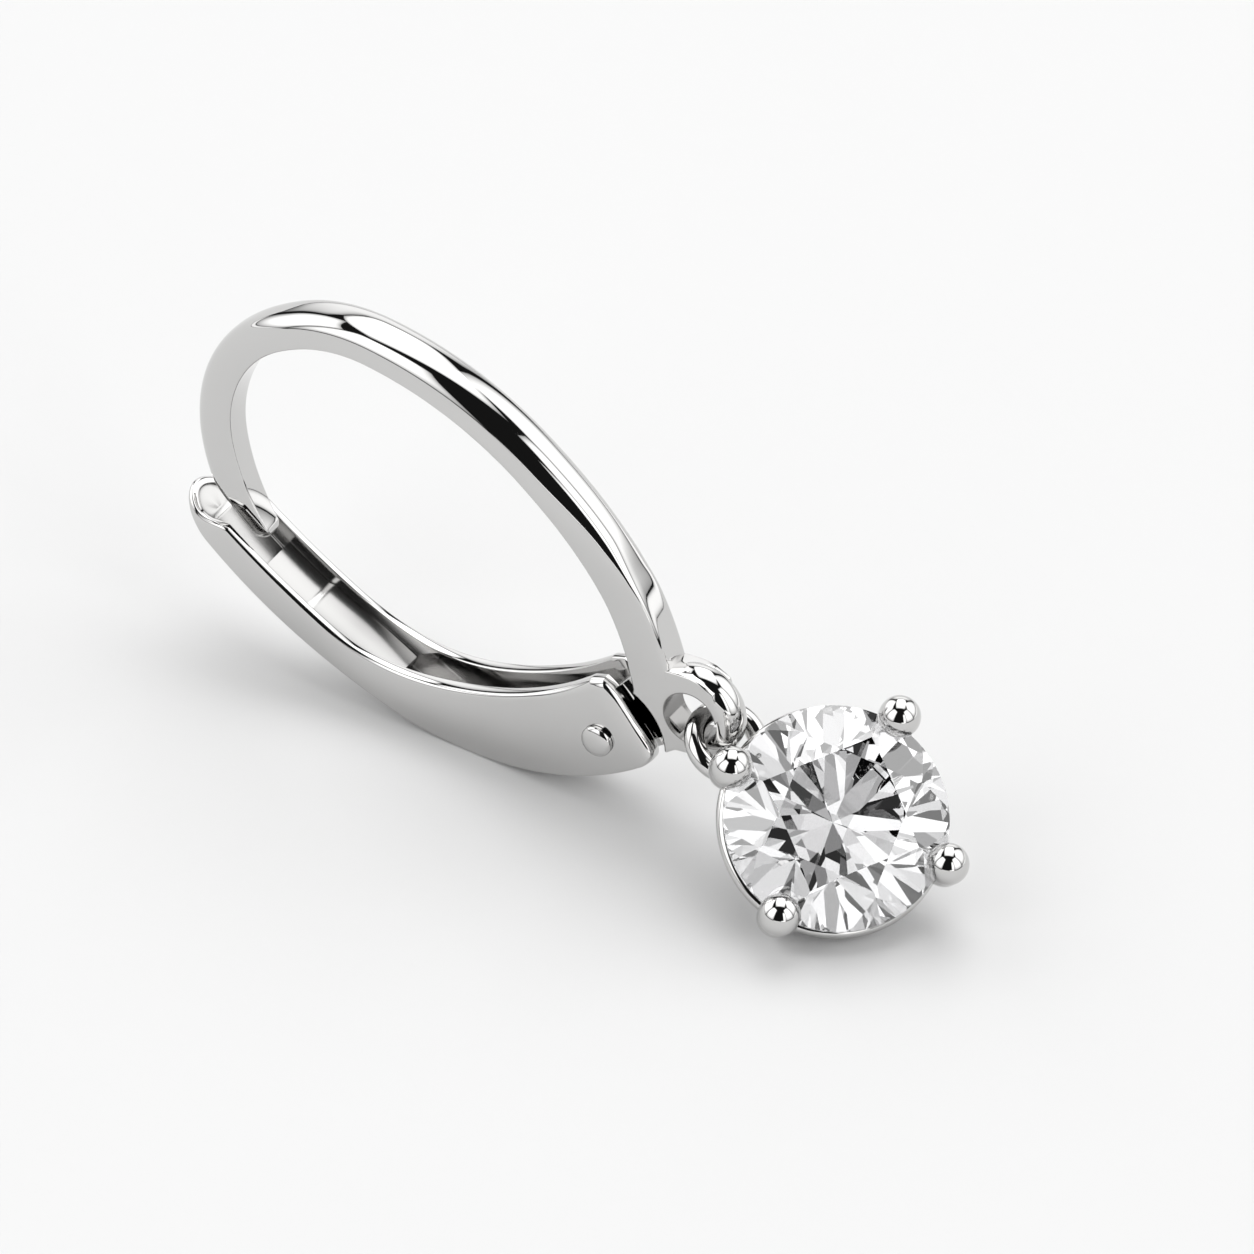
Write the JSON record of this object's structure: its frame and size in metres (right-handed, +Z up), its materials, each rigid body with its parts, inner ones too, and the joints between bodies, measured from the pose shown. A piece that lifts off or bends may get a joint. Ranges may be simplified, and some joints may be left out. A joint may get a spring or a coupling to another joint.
{
  "type": "leverback earring",
  "caption": "Leverback earring: a curved ear wire hinged to a locking lever, with a round stone in a four prong basket hung from its eye by a jump ring.",
  "frame": {"origin": "centre of the footprint of the bounding box, on the surface the earring rests on", "axes": "+Z up; +X runs from the drop along the loop to the lever's free end; +Y along the hinge pin"},
  "size_m": [0.0256, 0.0072, 0.0128],
  "materials": {
    "hook_metal": "polished",
    "lever_metal": "polished",
    "pin_metal": "polished",
    "ring_metal": "polished",
    "setting_metal": "polished",
    "clear_stone": "polished"
  },
  "bodies": {
    "hook": {"ear_hook": "hook_metal", "jump_ring": "ring_metal", "setting": "setting_metal", "stone": "clear_stone"},
    "lever": {"lever": "lever_metal", "hinge_pin": "pin_metal"}
  },
  "joints": [
    {"name": "lever_hinge", "type": "hinge", "parent": "hook", "child": "lever", "pos_m": [-0.00135, -0.00055, 0.0024], "axis": [0, 1, 0], "range_deg": [0, 50]}
  ]
}
